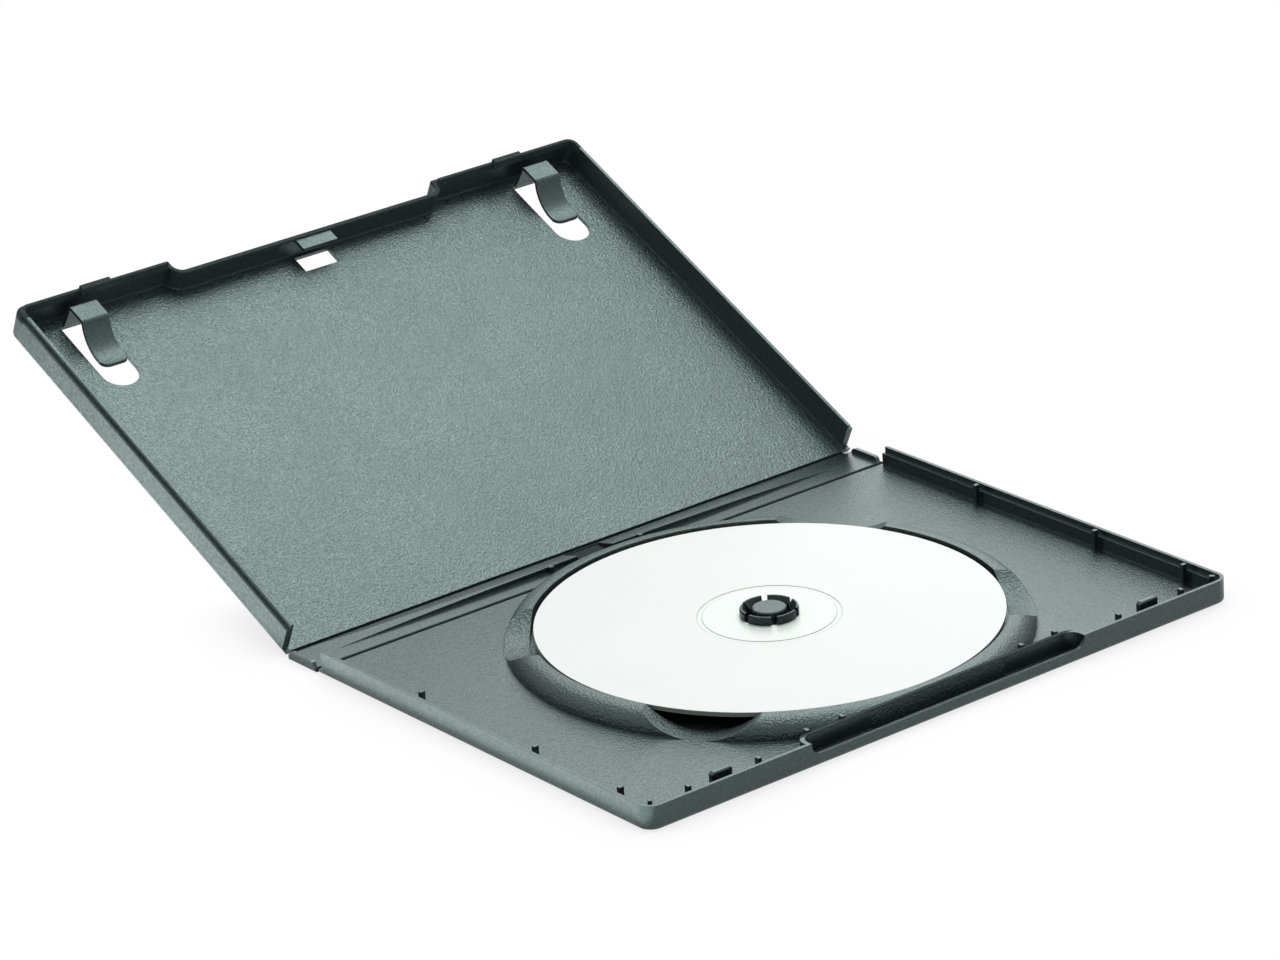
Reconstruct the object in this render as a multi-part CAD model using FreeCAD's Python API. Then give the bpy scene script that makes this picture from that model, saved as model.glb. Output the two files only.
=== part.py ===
import FreeCAD, Part
import math
import os

# DVD keep case lying open: the back tray flat on the table, the spine beside it, the front lid
# standing up at an angle, and a blank disc on the tray's push-button hub.
# Millimetres, +Z up, +X from the hinge to the tray's opening edge, +Y along the spine.
# The origin is the middle of the tray's hinge line, on the table.

# Disc
disc_diameter = 120.0
disc_hole = 15.0
disc_thickness = 1.2
disc_groove = 34.4  # inner diameter of the shallow groove round the clamping area
disc_groove_width = 1.25
disc_groove_depth = 0.1

# The case round the disc
case_length = 190.0  # along the spine
case_thickness = 14.0  # closed, over both outer faces
hinge_margin = 5.5  # tray's hinge axis to the disc's edge
opening_margin = 9.0  # disc's edge to the opening edge
lid_rise = 25.8  # degrees that the lid stands up from flat

# Panels and rims
panel_wall = 1.1
rim_wall = 2.05  # whole rim of a half
lip_wall = 0.95  # tray's outer lip
lip_height = 1.5  # lip above the tray's inner ledge
seam_gap = 0.2  # between the rims of the closed case
seam_drop = 0.5  # closed seam below the middle of the thickness
rim_clearance = 0.2  # between tongue and rabbet
corner_radius = 4.0
edge_round = 1.0  # outer edge along the three walled sides

# Living hinges
bead_radius = 0.4  # thin web that bends, drawn as a round bead on the axis
hinge_gap = 0.15  # folded-up panel to its neighbour's edge
hinge_end_gap = 2.5  # web stops short of the case's ends

# Thumb recess in the opening edge of both halves
recess_length = 89.0
recess_depth = 4.6
recess_wall = 1.2
recess_corner = 3.0  # where the set-back wall turns out to the rim
recess_sill = 3.2  # height left in front of the tray's recess
recess_round = 2.5

# Latches between the recess and the corners
latch_inset = 25.35  # middle of a latch to the case's end
latch_tab_length = 9.5
latch_tab_wall = 1.7
latch_tab_reach = 1.0  # past the tongue's edge
latch_clearance = 0.4
latch_post_length = 6.2
latch_post_wall = 1.2
latch_post_rise = 0.8  # above the tray's rim
latch_post_chamfer = 0.6
latch_nose = 0.3
latch_nose_gap = 0.25  # nose to tab in the closed case

# Ribs inside the tray's rim that guide the lid's rim
rib_wall = 1.0
rib_depth = 1.6
rib_rise = 0.4  # above the rim
side_rib_places = (14.0, 47.0, 93.0)  # from the opening edge
front_rib_places = (14.6, 36.2)  # from the case's end
recess_rib_places = (29.3, 40.5)  # from the middle

# The disc's seat and ring
seat_height = 4.4
seat_diameter = 33.0
well_clearance = 1.2  # disc's edge to the ring
ring_rise = 0.6  # ring above the disc
ring_land = 0.2  # flat top of the ring past its inner wall
ring_clearance = 0.7  # ring to the folded-up spine
scoop_radius = 24.0  # finger scoops across the ring
scoop_sink = 0.1  # lowest line of a scoop below the panel's face
scoop_angle = 55.5  # degrees either side of the X axis

# Hub: snap fingers round a push button
finger_count = 6
finger_slot = 1.5
finger_wall = 1.55
finger_rise = 2.2  # above the disc
finger_round = 0.25
finger_land = 0.45  # flat top of a finger
finger_slope = 2.0  # height of the sloping inner face
hole_clearance = 0.25  # finger's upright in the disc's hole
snap_overlap = 0.12  # snap lip over the edge of the disc's hole
snap_gap = 0.15  # snap lip above the disc
foot_wall = 0.8
foot_drop = 0.25  # foot below the disc's seat
foot_overlap = 0.35  # foot past the button's skirt
pivot_clearance = 0.25  # finger's root to the seat
button_clearance = 1.25  # button to the fingers
button_sink = 0.1  # button below the fingers' tops
button_wall = 0.9
button_gap = 0.2  # button's skirt above the fingers' feet
button_round = 0.3

# Spine
spine_end_height = 2.4
spine_end_wall = 1.1
spine_end_inset = 1.2  # end walls stop this far from the hinge axes
spine_end_round = 1.6
spine_end_clearance = 0.3  # folded-up end wall to the rims
crest_clearance = 0.4  # ring to the crest of the folded-up rail
crest_height = 1.5  # in the middle of its arch
crest_end_gap = 9.0  # arch fades out this far from the case's ends
rail_foot = 1.2  # rail's ramp ends this far from the lid's hinge axis
pocket_length = 11.6  # pocket that parts the rail in the middle
pocket_floor = 0.35
nub_offset = 15.0
nub_size = 1.3
nub_reach = 0.7

# Booklet clips, centre tab and mould marks of the lid
clip_inset = 18.5  # middle of a clip to the case's end
clip_width = 8.3
clip_wall = 0.9
clip_rise = 1.35  # clip's top above the rim
clip_lean = 8.0  # degrees that the leg leans away from the rim
clip_shoulder = 0.9  # bend radii and runs along the clip's middle line
clip_top_run = 4.9
clip_knee = 0.9
clip_knee_turn = 60.0  # degrees
clip_fall_run = 0.3
clip_belly = 10.5
clip_belly_turn = 78.0  # degrees
clip_tip_round = 2.4
clip_hole_width = 11.0
clip_hole_length = 26.5
clip_hole_gap = 3.75  # rim to the hole under the clip
tab_width = 11.5
tab_reach = 4.0
tab_wall = 1.0
tab_drop = 0.5  # tab's top below the rim
tab_hole_gap = 1.1  # recess wall to the hole under the tab
tab_hole_length = 5.9
mark_length = 5.6
mark_width = 2.4
mark_line = 0.3
mark_depth = 0.3
mark_gap = 0.4  # mark to the wall in front of it
corner_mark_inset = 9.6  # from the case's end
rim_mark_offset = 7.3  # outwards from the recess's end
recess_mark_offset = 7.9  # inwards from the recess's end

# Worked out from the sizes above
half_length = case_length / 2
disc_radius = disc_diameter / 2
hole_radius = disc_hole / 2
seat_radius = seat_diameter / 2
disc_top = seat_height + disc_thickness
hub_reach = hinge_margin + disc_radius
panel_reach = hub_reach + disc_radius + opening_margin
tray_rim = (case_thickness - seam_gap) / 2 - seam_drop
lid_rim = case_thickness - seam_gap - tray_rim
ledge_height = tray_rim - lip_height
tongue_height = case_thickness - ledge_height - rim_clearance
tongue_inset = lip_wall + rim_clearance
rim_inner = panel_reach - rim_wall
recess_half = recess_length / 2
recess_face = panel_reach - recess_depth
recess_inner = recess_face - recess_wall
latch_offset = half_length - latch_inset
clip_offset = half_length - clip_inset
fold_face = panel_wall - bead_radius  # inner face of a folded-up panel, from the axis
hinge_edge = fold_face + hinge_gap
wall_start = spine_end_height - bead_radius + spine_end_clearance
spine_reach = case_thickness - 2 * bead_radius
well_radius = disc_radius + well_clearance
ring_height = disc_top + ring_rise
ring_start = fold_face + ring_clearance
ring_crown = well_radius + panel_wall + ring_land
scoop_height = panel_wall - scoop_sink + scoop_radius
scoop_turns = (scoop_angle, 180 - scoop_angle, 180 + scoop_angle, 360 - scoop_angle)
crest_place = ring_height + crest_clearance - bead_radius
crest_half = half_length - crest_end_gap
arch_radius = (crest_half ** 2 + crest_height ** 2) / (2 * crest_height)
finger_outer = hole_radius - hole_clearance
finger_inner = finger_outer - finger_wall
finger_top = disc_top + finger_rise
foot_top = seat_height - foot_drop
finger_root = hole_radius + foot_wall / 2
button_radius = finger_inner - button_clearance
above = 2 * case_thickness  # tall enough to cut through anything


def vec(x, y, z):
    return FreeCAD.Vector(x, y, z)


def block(x0, x1, y0, y1, z0, z1):
    return Part.makeBox(x1 - x0, y1 - y0, z1 - z0, vec(x0, y0, z0))


def line(start, end):
    return Part.LineSegment(start, end).toShape()


def arc(start, middle, end):
    return Part.Arc(start, middle, end).toShape()


def prism_along_x(points, x0, x1):
    corners = [vec(x0, y, z) for y, z in points]
    face = Part.Face(Part.makePolygon(corners + corners[:1]))
    return face.extrude(vec(x1 - x0, 0, 0))


def prism_along_y(points, y0, y1):
    corners = [vec(x, y0, z) for x, z in points]
    face = Part.Face(Part.makePolygon(corners + corners[:1]))
    return face.extrude(vec(0, y1 - y0, 0))


def turned(edges):
    return Part.Face(Part.Wire(edges)).revolve(vec(0, 0, 0), vec(0, 0, 1), 360)


def turned_polygon(points):
    corners = [vec(r, 0, z) for r, z in points]
    return turned(Part.makePolygon(corners + corners[:1]).Edges)


def both_sides(shape):
    return [shape, shape.mirror(vec(0, 0, 0), vec(0, 1, 0))]


def at_hub(shape):
    moved = shape.copy()
    moved.translate(vec(hub_reach, 0, 0))
    return moved


def plan_prism(inset, start, bottom, top):
    # plan of one half, inset from its walled edges, with two rounded corners at the opening edge
    side = half_length - inset
    front = panel_reach - inset
    radius = corner_radius - inset
    bow = radius * (1 - math.sqrt(0.5))
    near_start = vec(start, -side, bottom)
    near_end = vec(front - radius, -side, bottom)
    front_near = vec(front, radius - side, bottom)
    front_far = vec(front, side - radius, bottom)
    far_end = vec(front - radius, side, bottom)
    far_start = vec(start, side, bottom)
    edges = [
        line(near_start, near_end),
        arc(near_end, vec(front - bow, bow - side, bottom), front_near),
        line(front_near, front_far),
        arc(front_far, vec(front - bow, side - bow, bottom), far_end),
        line(far_end, far_start),
        line(far_start, near_start),
    ]
    return Part.Face(Part.Wire(edges)).extrude(vec(0, 0, top - bottom))


def rounded_block(rim):
    # outer form of a half, its lower edge rounded on the three walled sides
    solid = plan_prism(0, hinge_edge, 0, rim)
    lower = []
    for edge in solid.Edges:
        box = edge.BoundBox
        if box.ZMax < edge_round / 2 and box.XMax > hinge_edge + edge_round:
            lower.append(edge)
    return solid.makeFillet(edge_round, lower)


def hinge_trim():
    # clears the rims beside the hinge for the end walls of the folded-up spine
    return block(0, wall_start, -half_length, half_length, panel_wall, above)


def rounded_back(x0, x1, half, z0, z1, radius):
    # block across the middle with its upright edges towards the hinge rounded
    solid = block(x0, x1, -half, half, z0, z1)
    upright = []
    for edge in solid.Edges:
        box = edge.BoundBox
        if box.ZLength > (z1 - z0) / 2 and box.XMax < (x0 + x1) / 2:
            upright.append(edge)
    return solid.makeFillet(radius, upright)


def recess_wall_block(rim):
    # set-back wall that turns out to the rim at each end of the thumb recess
    return rounded_back(recess_inner, panel_reach - lip_wall / 2, recess_half + recess_wall,
                        panel_wall / 2, rim, recess_corner + recess_wall)


def recess_pocket(front):
    return rounded_back(recess_face, front, recess_half, panel_wall, above, recess_corner)


def sill_window():
    # opening in the tray's outer lip over the recess, with rounded lower corners
    window = block(panel_reach - 2 * lip_wall, panel_reach + lip_wall, -recess_half, recess_half,
                   recess_sill, above)
    corners = []
    for edge in window.Edges:
        box = edge.BoundBox
        if box.ZMax < recess_sill + recess_round / 2 and box.XLength > lip_wall:
            corners.append(edge)
    return window.makeFillet(recess_round, corners)


def tray_rib(x, y, turn):
    # rib that stands out from the rim's inner face at a point, turned about the vertical,
    # with room above the ledge for the lid's tongue
    half = rib_wall / 2
    foot = block(-rib_depth, lip_wall, -half, half, panel_wall / 2, ledge_height - rim_clearance)
    rib = foot.fuse(block(-rib_depth, -rim_clearance, -half, half, panel_wall / 2, tray_rim + rib_rise))
    rib.rotate(vec(0, 0, 0), vec(0, 0, 1), turn)
    rib.translate(vec(x, y, 0))
    return rib


def tray_ribs():
    side = half_length - rim_wall
    bow = (corner_radius - rim_wall) * (1 - math.sqrt(0.5))
    ribs = both_sides(tray_rib(rim_inner - bow, side - bow, 45))
    for place in side_rib_places:
        ribs += both_sides(tray_rib(panel_reach - place, side, 90))
    for place in front_rib_places:
        ribs += both_sides(tray_rib(rim_inner, half_length - place, 0))
    for place in recess_rib_places:
        ribs += both_sides(tray_rib(recess_inner, place, 0))
    return ribs


def latch_slots():
    # gaps in the tray's ledge that take the lid's latch tabs
    half = latch_tab_length / 2 + latch_clearance
    floor = case_thickness - tongue_height - latch_tab_reach - latch_clearance
    slot = block(rim_inner - lip_wall, panel_reach - lip_wall, latch_offset - half, latch_offset + half,
                 floor, above)
    return both_sides(slot)


def latch_posts():
    # posts behind the slots, each with a nose that the tab passes
    nose_face = panel_reach - tongue_inset - latch_tab_wall - latch_nose_gap
    post_face = nose_face - latch_nose
    post_back = post_face - latch_post_wall
    top = tray_rim + latch_post_rise
    points = [
        (post_back, panel_wall / 2),
        (post_face, panel_wall / 2),
        (post_face, top - 3 * latch_nose),
        (nose_face, top - 2 * latch_nose),
        (nose_face, top - latch_nose),
        (post_face, top),
        (post_back, top),
    ]
    start = latch_offset - latch_post_length / 2
    end = latch_offset + latch_post_length / 2
    front = [
        (start, 0),
        (start, top - latch_post_chamfer),
        (start + latch_post_chamfer, top),
        (end - latch_post_chamfer, top),
        (end, top - latch_post_chamfer),
        (end, 0),
    ]
    return both_sides(prism_along_y(points, start, end).common(prism_along_x(front, post_back, nose_face)))


def scoops():
    # round troughs across the ring for the fingertips, in the hub's own frame
    troughs = []
    for turn in scoop_turns:
        start = vec(disc_radius / 2, 0, scoop_height)
        trough = Part.makeCylinder(scoop_radius, well_radius, start, vec(1, 0, 0))
        trough.rotate(vec(0, 0, 0), vec(0, 0, 1), turn)
        troughs.append(trough)
    return troughs


def well_cylinder(radius):
    return Part.makeCylinder(radius, 2 * above, vec(0, 0, -above))


def disc_ring():
    # raised ring with a quarter-round flank round the disc, scooped out for the fingers,
    # in the hub's own frame
    foot = panel_wall / 2
    radius = ring_height - panel_wall
    bow = radius * math.sqrt(0.5)
    inside_low = vec(well_radius, 0, foot)
    inside_top = vec(well_radius, 0, ring_height)
    crown = vec(ring_crown, 0, ring_height)
    outside = vec(ring_crown + radius, 0, panel_wall)
    outside_low = vec(ring_crown + radius, 0, foot)
    ring = turned([
        line(inside_low, inside_top),
        line(inside_top, crown),
        arc(crown, vec(ring_crown + bow, 0, panel_wall + bow), outside),
        line(outside, outside_low),
        line(outside_low, inside_low),
    ])
    return ring.cut(scoops())


def ring_hollow():
    # space under the ring that keeps the moulding's wall about even, left out below the scoops
    radius = ring_height - 2 * panel_wall
    bow = radius * math.sqrt(0.5)
    hollow = turned_polygon([
        (well_radius + panel_wall, -panel_wall),
        (well_radius + panel_wall, panel_wall + radius),
        (ring_crown, panel_wall + radius),
        (ring_crown + bow, panel_wall + bow),
        (ring_crown + radius, panel_wall),
        (ring_crown + radius, -panel_wall),
    ])
    half = math.sqrt((scoop_radius + panel_wall) ** 2 - (scoop_height - panel_wall - radius) ** 2)
    solid_parts = []
    for turn in scoop_turns:
        part = block(0, 2 * well_radius, -half, half, -above, above)
        part.rotate(vec(0, 0, 0), vec(0, 0, 1), turn)
        solid_parts.append(part)
    return hollow.cut(solid_parts)


def back_tray():
    shell = rounded_block(tray_rim)
    shell = shell.cut(plan_prism(rim_wall, 0, panel_wall, above))
    shell = shell.cut(plan_prism(lip_wall, 0, ledge_height, above))
    shell = shell.cut(latch_slots() + [hinge_trim()])
    ring = at_hub(disc_ring()).common(block(ring_start, recess_face, -half_length, half_length, 0, above))
    seat = at_hub(Part.makeCylinder(seat_radius, seat_height))
    shell = shell.fuse([recess_wall_block(tray_rim), ring, seat] + tray_ribs() + latch_posts())
    under = block(ring_start + panel_wall, recess_inner, -half_length, half_length, -above, above)
    seat_hollow = Part.makeCylinder(seat_radius - panel_wall, seat_height, vec(0, 0, -panel_wall))
    shell = shell.cut([
        recess_pocket(panel_reach - lip_wall),
        sill_window(),
        at_hub(ring_hollow()).common(under),
        at_hub(seat_hollow),
        at_hub(well_cylinder(finger_root + pivot_clearance)),
    ])
    return shell.removeSplitter()


def swung(vector, degrees):
    angle = math.radians(degrees)
    return vec(vector.x * math.cos(angle) - vector.z * math.sin(angle), 0,
               vector.x * math.sin(angle) + vector.z * math.cos(angle))


def bent_path(start, heading, moves):
    # middle line of a bent strip in the XZ plane: each move is a run, then a bend through some degrees
    edges = []
    point = start
    ahead = swung(vec(1, 0, 0), heading)
    for run, radius, turn in moves:
        edges.append(line(point, point + ahead * run))
        point = point + ahead * run
        centre = point + swung(ahead, math.copysign(90, turn)) * radius
        middle = centre + swung(point - centre, turn / 2)
        end = centre + swung(point - centre, turn)
        edges.append(arc(point, middle, end))
        point = end
        ahead = swung(ahead, turn)
    return Part.Wire(edges)


def booklet_clip():
    # bent spring strip: leg at the hole's edge, flat top, bowed leaf and a rounded tip that lifts again
    leg_place = rim_inner - clip_hole_gap + clip_wall / 2
    foot = panel_wall / 2
    lean = math.radians(clip_lean)
    climb = lid_rim + clip_rise - clip_wall / 2 - foot - clip_shoulder * (1 - math.sin(lean))
    moves = [
        (climb / math.cos(lean), clip_shoulder, 90 - clip_lean),
        (clip_top_run, clip_knee, clip_knee_turn),
        (clip_fall_run, clip_belly, -clip_belly_turn),
    ]
    path = bent_path(vec(leg_place, 0, foot), 90 + clip_lean, moves)
    path.translate(vec(0, clip_offset, 0))
    corners = [
        vec(leg_place - clip_wall / 2, clip_offset - clip_width / 2, foot),
        vec(leg_place + clip_wall / 2, clip_offset - clip_width / 2, foot),
        vec(leg_place + clip_wall / 2, clip_offset + clip_width / 2, foot),
        vec(leg_place - clip_wall / 2, clip_offset + clip_width / 2, foot),
    ]
    section = Part.makePolygon(corners + corners[:1])
    strip = path.makePipeShell([section], True, False)
    tip = []
    for edge in strip.Edges:
        box = edge.BoundBox
        if box.YLength < clip_wall / 2 and box.XMax < strip.BoundBox.XMin + clip_wall:
            tip.append(edge)
    return strip.makeFillet(clip_tip_round, tip)


def clip_hole():
    # through hole under a clip, square at the rim and round at its inner end
    outer = rim_inner - clip_hole_gap
    radius = clip_hole_width / 2
    centre = outer - clip_hole_length + radius
    square = block(centre, outer, clip_offset - radius, clip_offset + radius, -panel_wall, 2 * panel_wall)
    return square.fuse(Part.makeCylinder(radius, 3 * panel_wall, vec(centre, clip_offset, -panel_wall)))


def lid_tongue():
    # inner rim that drops into the tray's rabbet, left out beside the thumb recess
    tongue = plan_prism(tongue_inset, hinge_edge, panel_wall / 2, tongue_height)
    half = recess_half + recess_wall + rim_clearance
    return tongue.cut(block(recess_inner, panel_reach, -half, half, lid_rim, above))


def latch_tab():
    tab_face = panel_reach - tongue_inset
    half = latch_tab_length / 2
    return block(tab_face - latch_tab_wall, tab_face, latch_offset - half, latch_offset + half,
                 lid_rim, tongue_height + latch_tab_reach)


def mould_marks():
    # outlines of the mould's inserts, thin lines in the lid's floor along its opening wall
    places = [
        (rim_inner, half_length - corner_mark_inset),
        (rim_inner, recess_half + rim_mark_offset),
        (recess_inner, recess_half - recess_mark_offset),
    ]
    marks = []
    for wall, middle in places:
        end = wall - mark_gap
        start = end - mark_width
        half = mark_length / 2
        inner_half = half - mark_line
        low = panel_wall - mark_depth
        outer = block(start, end, middle - half, middle + half, low, above)
        inner = block(start + mark_line, end - mark_line, middle - inner_half, middle + inner_half,
                      low, above)
        marks += both_sides(outer.cut(inner))
    return marks


def front_lid_flat():
    # the lid in the tray's own attitude: hinge axis at the origin, opening edge towards +X
    shell = rounded_block(lid_rim).fuse(lid_tongue())
    shell = shell.cut(plan_prism(rim_wall, 0, panel_wall, above))
    shell = shell.fuse([recess_wall_block(lid_rim)] + both_sides(latch_tab()))
    hole_end = recess_inner - tab_hole_gap
    tab_hole = block(hole_end - tab_hole_length, hole_end, -tab_width / 2, tab_width / 2,
                     -panel_wall, 2 * panel_wall)
    cuts = [recess_pocket(panel_reach + lip_wall), tab_hole, hinge_trim()]
    shell = shell.cut(cuts + both_sides(clip_hole()) + mould_marks())
    tab_top = lid_rim - tab_drop
    tab = block(recess_inner - tab_reach, recess_inner + recess_wall / 2, -tab_width / 2, tab_width / 2,
                tab_top - tab_wall, tab_top)
    return shell.fuse([tab] + both_sides(booklet_clip())).removeSplitter()


def front_lid():
    lid = front_lid_flat()
    lid.rotate(vec(0, 0, 0), vec(0, 0, 1), 180)
    lid.translate(vec(-spine_reach, 0, 0))
    lid.rotate(vec(-spine_reach, 0, bead_radius), vec(0, 1, 0), lid_rise)
    return lid


def tag_rail():
    # ramp that rises to a crest along the spine and fades out towards both ends
    foot = spine_reach - rail_foot
    points = [
        (-crest_place, panel_wall / 2),
        (-crest_place, panel_wall + crest_height),
        (-foot, panel_wall),
        (-foot, panel_wall / 2),
    ]
    ramp = prism_along_y(points, -crest_half, crest_half)
    axis_start = vec(-spine_reach, 0, panel_wall + crest_height - arch_radius)
    return ramp.common(Part.makeCylinder(arch_radius, spine_reach, axis_start, vec(1, 0, 0)))


def tag_nub():
    drop = arch_radius - math.sqrt(arch_radius ** 2 - nub_offset ** 2)
    top = panel_wall + crest_height - drop
    return block(-crest_place - nub_reach, nub_reach - crest_place, nub_offset - nub_size / 2,
                 nub_offset + nub_size / 2, top - nub_size, top)


def spine_end():
    # low wall that closes the corner between the rims at one end of the spine
    wall = block(spine_end_inset - spine_reach, -spine_end_inset, half_length - spine_end_wall,
                 half_length, 0, spine_end_height)
    corners = []
    for edge in wall.Edges:
        box = edge.BoundBox
        if box.ZMin > spine_end_height / 2 and box.YLength > spine_end_wall / 2:
            corners.append(edge)
    return wall.makeFillet(spine_end_round, corners)


def spine_panel():
    lid_edge = hinge_edge - spine_reach
    panel = block(lid_edge, 0, -half_length, half_length, 0, panel_wall)
    bead_half = half_length - hinge_end_gap
    bead = Part.makeCylinder(bead_radius, 2 * bead_half, vec(0, -bead_half, bead_radius), vec(0, 1, 0))
    lid_bead = bead.copy()
    lid_bead.translate(vec(-spine_reach, 0, 0))
    web = block(-spine_reach, lid_edge, -bead_half, bead_half, 0, bead_radius)
    panel = panel.fuse([bead, lid_bead, web, tag_rail()] + both_sides(tag_nub()) + both_sides(spine_end()))
    pocket = block(lid_edge, -crest_place, -pocket_length / 2, pocket_length / 2, pocket_floor, above)
    return panel.cut(pocket).removeSplitter()


def disc():
    # plate with a centre hole and a shallow groove round the clamping area
    plate = Part.makeCylinder(disc_radius, disc_thickness, vec(0, 0, seat_height))
    groove_inner = disc_groove / 2
    groove_floor = disc_top - disc_groove_depth
    groove = Part.makeCylinder(groove_inner + disc_groove_width, disc_thickness, vec(0, 0, groove_floor))
    groove = groove.cut(Part.makeCylinder(groove_inner, above))
    return at_hub(plate.cut([Part.makeCylinder(hole_radius, above), groove]))


def hub_fingers():
    # snap fingers turned as one collar and parted by slots, each on a foot under the button
    foot_bottom = foot_top - foot_wall
    foot_inner = button_radius - button_wall - foot_overlap
    root_chamfer = foot_wall / 4
    lip = hole_radius + snap_overlap
    lip_bottom = disc_top + snap_gap
    collar = turned_polygon([
        (foot_inner, foot_bottom),
        (finger_root - root_chamfer, foot_bottom),
        (finger_root, foot_bottom + root_chamfer),
        (finger_root, foot_top - root_chamfer),
        (finger_root - root_chamfer, foot_top),
        (finger_outer, foot_top),
        (finger_outer, lip_bottom),
        (lip, lip_bottom + snap_overlap),
        (lip, finger_top - 2 * finger_round),
        (lip - finger_round, finger_top),
        (lip - finger_round - finger_land, finger_top),
        (finger_inner, finger_top - finger_slope),
        (finger_inner, foot_top),
        (foot_inner, foot_top),
    ])
    slots = []
    for index in range(finger_count):
        slot = block(0, seat_radius, -finger_slot / 2, finger_slot / 2, 0, above)
        slot.rotate(vec(0, 0, 0), vec(0, 0, 1), (index + 0.5) * 360 / finger_count)
        slots.append(slot)

    def turn_from_first(finger):
        centre = finger.CenterOfMass
        return (math.degrees(math.atan2(centre.y, centre.x)) + 1) % 360

    fingers = sorted(collar.cut(slots).Solids, key=turn_from_first)
    return [at_hub(finger) for finger in fingers]


def hub_button():
    # inverted cup that presses the fingers' feet down
    bottom = foot_top + button_gap
    top = finger_top - button_sink
    skirt_inner = button_radius - button_wall
    return at_hub(turned_polygon([
        (0, top),
        (button_radius - button_round, top),
        (button_radius, top - button_round),
        (button_radius, bottom),
        (skirt_inner, bottom),
        (skirt_inner, top - button_wall),
        (0, top - button_wall),
    ]))


def main():
    os.makedirs("parts", exist_ok=True)
    nodes = {
        "back_tray": back_tray(),
        "spine_panel": spine_panel(),
        "front_lid": front_lid(),
        "hub_button": hub_button(),
        "disc": disc(),
    }
    for number, finger in enumerate(hub_fingers(), start=1):
        nodes["hub_finger_%d" % number] = finger
    for name, shape in nodes.items():
        shape.exportStep("parts/%s.step" % name)
        print("%s: %d solid, volume %.1f mm3" % (name, len(shape.Solids), shape.Volume))


main()
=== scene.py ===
import math
import bpy
from mathutils import Matrix, Vector


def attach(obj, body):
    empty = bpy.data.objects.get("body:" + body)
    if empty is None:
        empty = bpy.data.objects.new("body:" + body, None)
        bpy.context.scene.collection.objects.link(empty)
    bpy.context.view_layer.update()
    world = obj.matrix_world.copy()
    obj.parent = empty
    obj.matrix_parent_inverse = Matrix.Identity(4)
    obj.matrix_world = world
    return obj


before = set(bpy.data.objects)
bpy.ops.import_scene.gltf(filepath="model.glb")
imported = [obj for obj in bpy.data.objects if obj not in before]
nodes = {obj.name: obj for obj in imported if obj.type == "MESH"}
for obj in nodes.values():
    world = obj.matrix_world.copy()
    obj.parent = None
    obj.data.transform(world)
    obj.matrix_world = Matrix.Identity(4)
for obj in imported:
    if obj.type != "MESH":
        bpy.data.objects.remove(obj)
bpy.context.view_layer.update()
scene = bpy.context.scene
scene.view_settings.view_transform = "Standard"
print("loaded", len(nodes), "nodes")

# places that several pieces share, in metres in the case's frame
hubPlace = (0.0655, 0.0, 0.0)
hingeHeight = 0.0004  # both hinge axes above the panels' outer faces
trayHinge = (0.0, 0.0, hingeHeight)
lidHinge = (-0.0132, 0.0, hingeHeight)
lidRise = 25.8  # degrees that the lid stands up

cameraView = {
    "place": (1.04470, -0.78451, 0.54717),
    "right": (0.62401, 0.77909, -0.06027),
    "ahead": (-0.73830, 0.56256, -0.37206),
    "lens": 151.57,  # mm
    "sensorWidth": 36.0,  # mm
    "clipStart": 0.05,
    "clipEnd": 30.0,
}


def makeCamera(s):
    # the camera's columns are its right, its up and the way back from what it looks at
    data = bpy.data.cameras.new("camera")
    data.sensor_width = s["sensorWidth"]
    data.lens = s["lens"]
    data.clip_start = s["clipStart"]
    data.clip_end = s["clipEnd"]
    back = -Vector(s["ahead"]).normalized()
    up = back.cross(Vector(s["right"])).normalized()
    right = up.cross(back)
    turn = Matrix((right, up, back)).transposed().to_4x4()
    cam = bpy.data.objects.new("camera", data)
    cam.matrix_world = Matrix.Translation(s["place"]) @ turn
    scene.collection.objects.link(cam)
    scene.camera = cam


makeCamera(cameraView)
print("camera set")


class nodeSheet:
    # shorthand for one node tree: adds nodes with their settings and links or sets their sockets
    def __init__(self, tree):
        self.tree = tree

    def add(self, kind, props=None, **sockets):
        node = self.tree.nodes.new("ShaderNode" + kind)
        for key, value in (props or {}).items():
            setattr(node, key, value)
        for key, value in sockets.items():
            self.put(node, key, value)
        return node

    def put(self, node, key, value):
        # the key i2 is input number 2, any other key is a socket's name
        numbered = key[0] == "i" and key[1:].isdigit()
        socket = node.inputs[int(key[1:])] if numbered else node.inputs[key.replace("_", " ")]
        if isinstance(value, bpy.types.NodeSocket):
            self.tree.links.new(value, socket)
        else:
            socket.default_value = value

    def fill(self, node, values):
        # puts the values into the node's inputs in turn
        for number, value in enumerate(values):
            self.put(node, "i%d" % number, value)
        return node

    def math(self, operation, *values):
        # one step of arithmetic on numbers
        return self.fill(self.add("Math", {"operation": operation}), values).outputs[0]

    def vector(self, operation, *values):
        # one step on vectors, where a length or a dot product comes out as a number
        node = self.fill(self.add("VectorMath", {"operation": operation}), values)
        return node.outputs["Value" if operation in ("LENGTH", "DOT_PRODUCT") else "Vector"]

    def ramp(self, value, low, high, start=0.0, end=1.0, smooth=True):
        # step from start to end while the value goes from low to high, smooth or straight
        node = self.add("MapRange", {"interpolation_type": "SMOOTHSTEP" if smooth else "LINEAR"},
                        Value=value, From_Min=low, From_Max=high, To_Min=start, To_Max=end)
        return node.outputs[0]

    def mix(self, factor, a, b):
        # colour a at factor 0, colour b at factor 1; inputs 6 and 7 are the node's colours
        return self.add("Mix", {"data_type": "RGBA"}, i0=factor, i6=a, i7=b).outputs[2]


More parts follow.
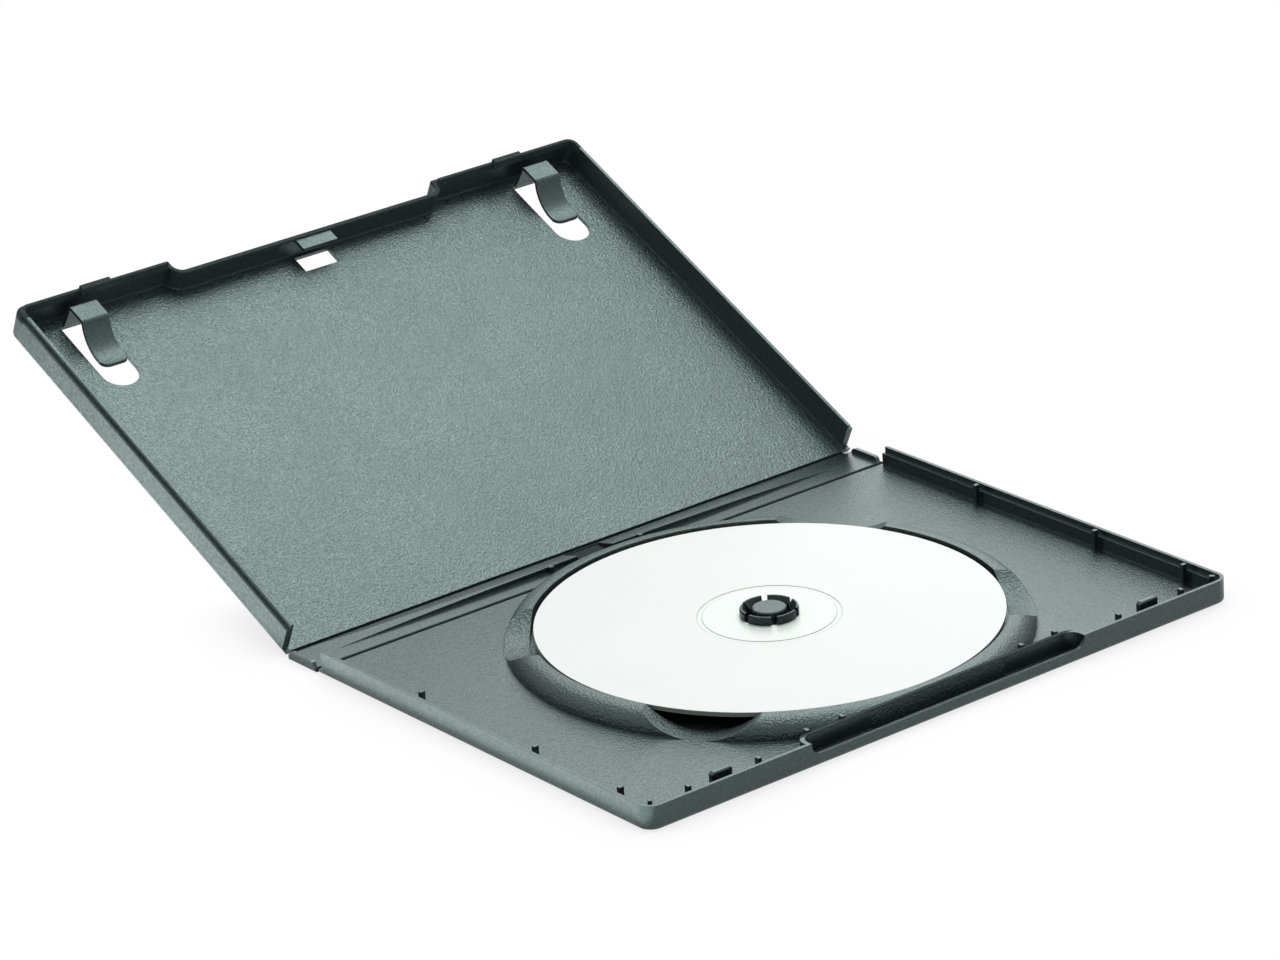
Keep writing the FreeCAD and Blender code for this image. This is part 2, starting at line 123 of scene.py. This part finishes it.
def newMaterial(name):
    # empty material with a sheet for its nodes
    mat = bpy.data.materials.new(name)
    mat.use_nodes = True
    mat.node_tree.nodes.clear()
    return mat, nodeSheet(mat.node_tree)


softTint = (0.92, 1.0, 0.97)  # of the world and of every lamp
studio = {
    "floorSize": 12.0,
    "floorDrop": 0.0004,  # below the case
    "floorColour": (0.9, 0.9, 0.9, 1),
    "shadowReach": 0.02,
    "shadowSamples": 16,
    "shadowStart": 0.3,  # share of open space at which the floor is darkest
    "shadowDepth": 0.82,  # floor's brightness where the case almost touches it
    "worldColour": softTint + (1,),
    "worldStrength": 0.25,
    "backdropColour": (1, 1, 1, 1),
    "backdropStrength": 1.0,
}
lamps = [
    {  # over the lid
        "name": "softbox",
        "power": 10.2,
        "size": (1.0, 1.0),
        "place": (-0.33, 0.42, 1.15),
        "target": (0, 0, 0),
    },
    {  # brighter core of the softbox
        "name": "core",
        "power": 2.6,
        "size": (0.45, 0.36),
        "place": (-0.28, 0.61, 1.12),
        "target": (0, 0, 0),
    },
    {  # low behind the case
        "name": "panel",
        "power": 5.35,
        "size": (1.3, 1.0),
        "place": (-1.11, 0.9, 0.62),
        "target": (0.06, 0, 0),
    },
    {  # on the table beside the near side, shining up
        "name": "sheet",
        "power": 0.5,
        "size": (0.43, 0.16),
        "place": (-0.045, -0.178, 0.0005),
        "target": (-0.045, -0.178, 1),
    },
]


def seenDirectly(sheet):
    # 1 for rays from the camera and for mirror and clear rays, which should meet white
    path = sheet.add("LightPath")
    shiny = sheet.math("MAXIMUM", path.outputs["Is Glossy Ray"], path.outputs["Is Transmission Ray"])
    return sheet.math("MAXIMUM", path.outputs["Is Camera Ray"], shiny)


def makeFloor(s):
    # white where it is seen directly, less so close to the case, and grey paper for all other light
    half = s["floorSize"] / 2
    z = -s["floorDrop"]
    corners = [(-half, -half, z), (half, -half, z), (half, half, z), (-half, half, z)]
    mesh = bpy.data.meshes.new("floor")
    mesh.from_pydata(corners, [], [(0, 1, 2, 3)])
    floor = bpy.data.objects.new("floor", mesh)
    scene.collection.objects.link(floor)
    mat, sheet = newMaterial("paperFloor")
    paper = sheet.add("BsdfDiffuse", Color=s["floorColour"])
    shade = sheet.add("AmbientOcclusion", {"samples": s["shadowSamples"]}, Distance=s["shadowReach"])
    level = sheet.ramp(shade.outputs["AO"], s["shadowStart"], 1.0, s["shadowDepth"], 1.0)
    white = sheet.add("Emission", Strength=level)
    both = sheet.add("MixShader", i0=seenDirectly(sheet), i1=paper.outputs[0], i2=white.outputs[0])
    sheet.add("OutputMaterial", Surface=both.outputs[0])
    mesh.materials.append(mat)


def makeWorld(s):
    # white backdrop where it is seen directly, soft tinted light from all sides otherwise
    world = bpy.data.worlds.new("studioWorld")
    scene.world = world
    world.use_nodes = True
    world.node_tree.nodes.clear()
    sheet = nodeSheet(world.node_tree)
    soft = sheet.add("Background", Color=s["worldColour"], Strength=s["worldStrength"])
    white = sheet.add("Background", Color=s["backdropColour"], Strength=s["backdropStrength"])
    both = sheet.add("MixShader", i0=seenDirectly(sheet), i1=soft.outputs[0], i2=white.outputs[0])
    sheet.add("OutputWorld", Surface=both.outputs[0])


def makeLamp(s):
    # rectangle that shines from its place towards its target and isn't seen itself
    light = bpy.data.lights.new(s["name"], "AREA")
    light.shape = "RECTANGLE"
    light.size, light.size_y = s["size"]
    light.energy = s["power"]
    light.color = softTint
    lamp = bpy.data.objects.new(s["name"], light)
    lamp.location = s["place"]
    lamp.rotation_mode = "QUATERNION"
    lamp.rotation_quaternion = (Vector(s["target"]) - Vector(s["place"])).to_track_quat("-Z", "Y")
    lamp.visible_camera = False
    scene.collection.objects.link(lamp)


makeFloor(studio)
makeWorld(studio)
for lampSettings in lamps:
    makeLamp(lampSettings)
print("studio set")


def newGroup(name, inputs, outputs):
    # node group with a sheet for its nodes, the sockets it is given and the node that hands its results on
    group = bpy.data.node_groups.new(name, "ShaderNodeTree")
    for title, kind in inputs:
        group.interface.new_socket(title, in_out="INPUT", socket_type="NodeSocket" + kind)
    for title, kind in outputs:
        group.interface.new_socket(title, in_out="OUTPUT", socket_type="NodeSocket" + kind)
    sheet = nodeSheet(group)
    given = group.nodes.new("NodeGroupInput").outputs
    handed = group.nodes.new("NodeGroupOutput")
    return group, sheet, given, handed


mouldGrain = {
    "coarseDetail": 1.0,
    "coarseRoughness": 0.6,
    "finerBy": 2.3,  # times the fineness of the coarse noise
    "fineDetail": 1.0,
    "fineShare": 0.5,
    "slowFineness": 38.0,
    "slowDetail": 4.0,
    "slowRoughness": 0.55,
    "speckleRange": (0.3, 0.7),
    "toneRange": (0.32, 0.68),
}


def makeMouldGrain(s):
    # spark-eroded mould skin: a coarse and a fine noise added up as height, the coarse one stretched
    # as speckle, and a slow noise as tone
    group, sheet, given, handed = newGroup(
        "mouldGrain", [("Vector", "Vector"), ("Fineness", "Float")],
        [("Height", "Float"), ("Speckle", "Float"), ("Tone", "Float")])
    coarse = sheet.add("TexNoise", Vector=given["Vector"], Scale=given["Fineness"],
                       Detail=s["coarseDetail"], Roughness=s["coarseRoughness"])
    finer = sheet.math("MULTIPLY", given["Fineness"], s["finerBy"])
    fine = sheet.add("TexNoise", Vector=given["Vector"], Scale=finer, Detail=s["fineDetail"])
    slow = sheet.add("TexNoise", Vector=given["Vector"], Scale=s["slowFineness"],
                     Detail=s["slowDetail"], Roughness=s["slowRoughness"])
    height = sheet.math("MULTIPLY_ADD", fine.outputs[0], s["fineShare"], coarse.outputs[0])
    sheet.put(handed, "Height", height)
    sheet.put(handed, "Speckle", sheet.ramp(coarse.outputs[0], *s["speckleRange"]))
    sheet.put(handed, "Tone", sheet.ramp(slow.outputs[0], *s["toneRange"]))
    return group


softEdge = {
    "samples": 6,
    "flatAgree": 0.97,  # cosine between the rounded and the flat normal, where an edge begins
    "edgeAgree": 0.78,  # and where it is full
}


def makeSoftEdge(s):
    # rounds the shading over sharp edges, and marks them where the rounded normal leaves the flat one
    group, sheet, given, handed = newGroup(
        "softEdge", [("Radius", "Float")], [("Normal", "Vector"), ("Edge", "Float")])
    bevel = sheet.add("Bevel", {"samples": s["samples"]}, Radius=given["Radius"])
    flat = sheet.add("NewGeometry")
    agree = sheet.vector("DOT_PRODUCT", bevel.outputs[0], flat.outputs["Normal"])
    sheet.put(handed, "Normal", bevel.outputs[0])
    sheet.put(handed, "Edge", sheet.ramp(agree, s["flatAgree"], s["edgeAgree"]))
    return group


dustSpecks = {
    "leastSize": 0.06,  # in widths of a cell
    "sizeSpread": 0.14,
}


def makeDustSpecks(s):
    # a few small round specks: near a cell's middle, in the given share of the cells
    group, sheet, given, handed = newGroup(
        "dustSpecks", [("Vector", "Vector"), ("Spread", "Float"), ("Share", "Float")], [("Speck", "Float")])
    cells = sheet.add("TexVoronoi", Vector=given["Vector"], Scale=given["Spread"])
    pick = sheet.add("SeparateColor", i0=cells.outputs["Color"])
    chosen = sheet.math("LESS_THAN", pick.outputs[0], given["Share"])
    size = sheet.math("MULTIPLY_ADD", pick.outputs[1], s["sizeSpread"], s["leastSize"])
    near = sheet.math("LESS_THAN", cells.outputs["Distance"], size)
    sheet.put(handed, "Speck", sheet.math("MULTIPLY", chosen, near))
    return group


def makeBoxMask():
    # 1 inside a box given by two corners: where the way to its middle is less than half its size on each axis
    group, sheet, given, handed = newGroup(
        "boxMask", [("Vector", "Vector"), ("Low", "Vector"), ("High", "Vector")], [("Inside", "Float")])
    middle = sheet.vector("MULTIPLY", sheet.vector("ADD", given["Low"], given["High"]), (0.5, 0.5, 0.5))
    half = sheet.vector("SUBTRACT", given["High"], middle)
    away = sheet.vector("ABSOLUTE", sheet.vector("SUBTRACT", given["Vector"], middle))
    left = sheet.add("SeparateXYZ", i0=sheet.vector("SUBTRACT", half, away))
    least = sheet.math("MINIMUM", left.outputs[0], sheet.math("MINIMUM", left.outputs[1], left.outputs[2]))
    sheet.put(handed, "Inside", sheet.math("GREATER_THAN", least, 0.0))
    return group


grainGroup = makeMouldGrain(mouldGrain)
edgeGroup = makeSoftEdge(softEdge)
dustGroup = makeDustSpecks(dustSpecks)
boxGroup = makeBoxMask()
print("shared effects made")

trayPlastic = {
    "dark": (0.003, 0.005, 0.005, 1),
    "light": (0.028, 0.039, 0.038, 1),
    # paler colour on edges: a painted highlight along them, with wear
    "wearAndHighlight": (0.10, 0.125, 0.123, 1),
    "wearAndHighlightShare": 0.5,
    "dust": (0.3, 0.33, 0.32, 1),
    "dustSpread": 260.0,  # cells per metre
    "dustShare": 0.004,
    "dustCover": 0.7,
    "dustRough": 0.3,
    "paintedShade": (0.001, 0.001, 0.001, 1),  # painted shade: black inside the hinge creases and the pocket, where shade falls
    # boxes filled with painted shade; none on the tray
    "paintedShadeBoxes": [],
    "roughLow": 0.27,
    "roughHigh": 0.39,
    "toneShine": 0.4,
    "speckleShine": 0.6,
    "specular": 0.8,
    "specularTint": (0.75, 1.0, 0.98, 1),
    "fineness": 1500.0,  # noise cells per metre
    "bump": 0.6,
    "bumpDepth": 0.0003,
    "edgeRadius": 0.00018,
    "hub": hubPlace,  # middle of the disc ring
    "ringInside": 0.0610,
    "ringOutside": 0.0679,
    "ringBump": 1.5,  # strength of the skin on the ring, against 1 on the inner floor
    "wallBump": 0.3,  # the same on walls, clips and outer faces
    "wallRough": 0.0,  # added roughness there
    "floorLow": 0.0006,  # heights between which the inner floor lies
    "floorHigh": 0.0014,
    "fade": 0.0002,  # width over which one skin goes over into the other
    "dullBox": ((0.1285, -0.047, 0.0062), (0.1301, 0.047, 0.0066)),  # top of the recess's wall
}
lidPlastic = dict(
    trayPlastic,
    hinge=lidHinge,
    rise=lidRise,
    wearAndHighlightShare=0.4,
    roughLow=0.25,
    roughHigh=0.38,
    specular=0.88,
    bump=0.75,
    wallRough=0.16,
    dullBox=((0.12865, -0.1, 0.0066), (0.14, 0.1, 0.012)),  # top of the opening rim
)
spinePlastic = dict(
    trayPlastic,
    bump=0.06,
    roughLow=0.24,
    roughHigh=0.32,
    paintedShadeBoxes=[
        ((-0.0124, -0.0058, 0.0001), (-0.0062, 0.0058, 0.0009)),  # painted shade in the pocket
        ((-0.0139, -0.1, 0.0001), (-0.0125, 0.1, 0.0014)),  # painted shade in the crease at the lid
        ((-0.0007, -0.1, 0.0001), (0.0007, 0.1, 0.0014)),  # painted shade in the crease at the tray
    ],
)
# the hinge webs get no painted shade
webPlastic = dict(spinePlastic, paintedShadeBoxes=[])
hubPlastic = dict(trayPlastic, bump=0.03, roughLow=0.3, roughHigh=0.4, specular=0.6, edgeRadius=0.00012)
fingerPlastic = dict(hubPlastic, specular=0.3, roughLow=0.22, roughHigh=0.3, wearAndHighlightShare=0.25)


def hubRadius(sheet, place, hub):
    # distance from the hub's axis
    level = sheet.vector("MULTIPLY", sheet.vector("SUBTRACT", place, hub), (1, 1, 0))
    return sheet.vector("LENGTH", level)


def between(sheet, value, low, high, fade):
    # 1 while the value is between low and high, fading to 0 outside
    above = sheet.ramp(value, low - fade, low)
    below = sheet.ramp(value, high, high + fade, 1.0, 0.0)
    return sheet.math("MULTIPLY", above, below)


def ringSkin(sheet, place, s):
    # 1 on the disc ring, between two radii round the hub
    radius = hubRadius(sheet, place, s["hub"])
    return between(sheet, radius, s["ringInside"], s["ringOutside"], s["fade"])


def innerFloor(sheet, place, s):
    # 1 on the inner floor, between two heights
    up = sheet.add("SeparateXYZ", i0=place).outputs[2]
    return between(sheet, up, s["floorLow"], s["floorHigh"], s["fade"])


def lidPlace(sheet, place, s):
    # the place in the lid's own attitude: from its hinge to the opening edge, and up from its outer face
    turn = math.radians(s["rise"])
    moved = sheet.vector("SUBTRACT", place, s["hinge"])
    reach = sheet.vector("DOT_PRODUCT", moved, (-math.cos(turn), 0, math.sin(turn)))
    rise = sheet.vector("DOT_PRODUCT", moved, (math.sin(turn), 0, math.cos(turn)))
    height = sheet.math("ADD", rise, s["hinge"][2])
    along = sheet.add("SeparateXYZ", i0=place).outputs[1]
    return sheet.add("CombineXYZ", X=reach, Y=along, Z=height).outputs[0]


def boxMask(sheet, place, box):
    # 1 where the place is inside the box
    return sheet.add("Group", {"node_tree": boxGroup}, Vector=place, Low=box[0], High=box[1]).outputs[0]


def plasticMaterial(name, s):
    # speckled dark plastic, paler on edges (wear with a painted highlight) and on dust specks, duller off the
    # inner floor, and black painted shade in the listed boxes
    mat, sheet = newMaterial(name)
    place = sheet.add("TexCoord").outputs["Object"]
    own = lidPlace(sheet, place, s) if "rise" in s else place
    grain = sheet.add("Group", {"node_tree": grainGroup}, Vector=place, Fineness=s["fineness"]).outputs
    edge = sheet.add("Group", {"node_tree": edgeGroup}, Radius=s["edgeRadius"]).outputs
    speck = sheet.add("Group", {"node_tree": dustGroup}, Vector=place,
                      Spread=s["dustSpread"], Share=s["dustShare"]).outputs[0]
    dull = boxMask(sheet, own, s["dullBox"])
    floor = innerFloor(sheet, own, s)

    # paler edges: painted highlight along every edge, with wear, none inside the dull box
    wornAndHighlit = sheet.math("MULTIPLY", edge["Edge"], sheet.ramp(dull, 0, 1, s["wearAndHighlightShare"], 0.0))
    colour = sheet.mix(grain["Speckle"], s["dark"], s["light"])
    colour = sheet.mix(wornAndHighlit, colour, s["wearAndHighlight"])
    colour = sheet.mix(sheet.math("MULTIPLY", speck, s["dustCover"]), colour, s["dust"])

    shine = sheet.math("MULTIPLY", grain["Speckle"], s["speckleShine"])
    shine = sheet.math("MULTIPLY_ADD", grain["Tone"], s["toneShine"], shine)
    rough = sheet.ramp(shine, 0, 1, s["roughHigh"], s["roughLow"], smooth=False)
    rough = sheet.math("ADD", rough, sheet.ramp(floor, 0, 1, s["wallRough"], 0.0))
    rough = sheet.math("MULTIPLY_ADD", speck, s["dustRough"], rough)
    rough = sheet.math("MAXIMUM", rough, dull)

    # painted shade: black and fully rough inside each listed box
    for box in s["paintedShadeBoxes"]:
        inPaintedShade = boxMask(sheet, place, box)
        colour = sheet.mix(inPaintedShade, colour, s["paintedShade"])
        rough = sheet.math("MAXIMUM", rough, inPaintedShade)

    skin = sheet.ramp(floor, 0, 1, s["wallBump"], 1.0)
    skin = sheet.ramp(ringSkin(sheet, place, s), 0, 1, skin, s["ringBump"])
    height = sheet.math("MULTIPLY", grain["Height"], skin)
    bump = sheet.add("Bump", Strength=s["bump"], Distance=s["bumpDepth"], Height=height,
                     Normal=edge["Normal"])

    shader = sheet.add("BsdfPrincipled", Base_Color=colour, Roughness=rough, Normal=bump.outputs[0])
    sheet.put(shader, "Specular IOR Level", s["specular"])
    sheet.put(shader, "Specular Tint", s["specularTint"])
    sheet.add("OutputMaterial", Surface=shader.outputs[0])
    return mat


discFinish = {
    "hub": hubPlace,
    "printColour": (0.93, 0.89, 0.90, 1),
    "clearColour": (0.93, 0.905, 0.905, 1),
    "bandColour": (0.89, 0.895, 0.885, 1),
    # painted shade along the two edges of the groove round the clear centre
    "grooveShadeColour": (0.62, 0.64, 0.63, 1),
    "rimColour": (0.40, 0.46, 0.38, 1),
    "dataColour": (0.62, 0.64, 0.70, 1),
    "dataMetal": 0.9,
    "printStart": 0.0186,
    "printFade": 0.0001,
    "bandStart": 0.0084,
    "bandFadeIn": 0.0006,
    "bandEnd": 0.0110,
    "bandFadeOut": 0.0004,
    "lines": (0.0172, 0.01845),  # radii of the groove's two edges
    "lineCore": 0.00008,  # half the width of a line where it is full, and where it ends
    "lineReach": 0.00024,
    "faceHeight": 0.00545,
    "dataHeight": 0.00445,
    "roughLow": 0.36,
    "roughHigh": 0.42,
    "clearShine": 0.12,  # less roughness on the clear centre
    "fineness": 900.0,
    "bump": 0.02,
    "bumpDepth": 0.00005,
    "edgeRadius": 0.0001,
}


def discMaterial(name, s):
    # white printed face outside the clamping rings, clear centre with painted shade along the groove's two
    # edges, pale clear rim, silver data side
    mat, sheet = newMaterial(name)
    place = sheet.add("TexCoord").outputs["Object"]
    grain = sheet.add("Group", {"node_tree": grainGroup}, Vector=place, Fineness=s["fineness"]).outputs
    edge = sheet.add("Group", {"node_tree": edgeGroup}, Radius=s["edgeRadius"]).outputs
    radius = hubRadius(sheet, place, s["hub"])
    height = sheet.add("SeparateXYZ", i0=place).outputs[2]
    printed = sheet.ramp(radius, s["printStart"] - s["printFade"], s["printStart"])
    face = sheet.math("GREATER_THAN", height, s["faceHeight"])
    data = sheet.math("LESS_THAN", height, s["dataHeight"])

    bandIn = sheet.ramp(radius, s["bandStart"] - s["bandFadeIn"], s["bandStart"])
    bandOut = sheet.ramp(radius, s["bandEnd"], s["bandEnd"] + s["bandFadeOut"], 1.0, 0.0)
    colour = sheet.mix(sheet.math("MULTIPLY", bandIn, bandOut), s["clearColour"], s["bandColour"])
    colour = sheet.mix(printed, colour, s["printColour"])
    # painted shade: a grey line along each edge of the groove
    for line in s["lines"]:
        off = sheet.math("ABSOLUTE", sheet.math("SUBTRACT", radius, line))
        grooveShaded = sheet.ramp(off, s["lineCore"], s["lineReach"], 1.0, 0.0)
        colour = sheet.mix(grooveShaded, colour, s["grooveShadeColour"])
    colour = sheet.mix(face, s["rimColour"], colour)
    colour = sheet.mix(data, colour, s["dataColour"])

    clear = sheet.math("SUBTRACT", 1.0, printed)
    rough = sheet.ramp(grain["Tone"], 0, 1, s["roughLow"], s["roughHigh"], smooth=False)
    rough = sheet.math("SUBTRACT", rough, sheet.math("MULTIPLY", clear, s["clearShine"]))
    metal = sheet.math("MULTIPLY", data, s["dataMetal"])
    bump = sheet.add("Bump", Strength=s["bump"], Distance=s["bumpDepth"], Height=grain["Height"],
                     Normal=edge["Normal"])
    shader = sheet.add("BsdfPrincipled", Base_Color=colour, Roughness=rough, Metallic=metal,
                       Normal=bump.outputs[0])
    sheet.add("OutputMaterial", Surface=shader.outputs[0])
    return mat


def dress(node, mat):
    # gives a CAD node one material
    ob = nodes[node]
    ob.data.materials.clear()
    ob.data.materials.append(mat)


fingerSkin = plasticMaterial("fingerPlastic", fingerPlastic)
dress("back_tray", plasticMaterial("trayPlastic", trayPlastic))
dress("front_lid", plasticMaterial("lidPlastic", lidPlastic))
dress("spine_panel", plasticMaterial("spinePlastic", spinePlastic))
dress("hub_button", plasticMaterial("hubPlastic", hubPlastic))
dress("disc", discMaterial("discFinish", discFinish))
for name in nodes:
    if name.startswith("hub_finger"):
        dress(name, fingerSkin)
print("materials set")

hingeWeb = {
    "reach": 0.00125,  # from the hinge axis to inside the panel's edge
    "low": 0.00008,  # above the panel's outer face
    "high": 0.00036,
    "halfLength": 0.0925,
}


def makeWeb(name, body, axis, side, rise, mat, s):
    # strip that closes the crease: it turns with its panel about the axis, and its inner edge stays in the
    # bead; side is 1 where the panel lies towards +X and -1 where it lies towards -X
    turn = math.radians(rise)
    ahead = Vector((side * math.cos(turn), 0, math.sin(turn)))
    up = Vector((-side * math.sin(turn), 0, math.cos(turn)))
    across = up.cross(ahead) * s["halfLength"]
    section = [(0, s["low"]), (s["reach"], s["low"]), (s["reach"], s["high"]), (0, s["high"])]
    points = []
    for end in (-across, across):
        for along, height in section:
            points.append(Vector(axis) + end + ahead * along + up * (height - hingeHeight))
    faces = [(0, 1, 2, 3), (7, 6, 5, 4)]
    for i in range(4):
        following = (i + 1) % 4
        faces.append((i, i + 4, following + 4, following))
    mesh = bpy.data.meshes.new(name)
    mesh.from_pydata(points, [], faces)
    mesh.materials.append(mat)
    web = bpy.data.objects.new(name, mesh)
    scene.collection.objects.link(web)
    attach(web, body)


webSkin = plasticMaterial("webPlastic", webPlastic)
makeWeb("trayHingeWeb", "tray", trayHinge, 1, 0.0, webSkin, hingeWeb)
makeWeb("lidHingeWeb", "lid", lidHinge, -1, lidRise, webSkin, hingeWeb)
print("hinge webs made")
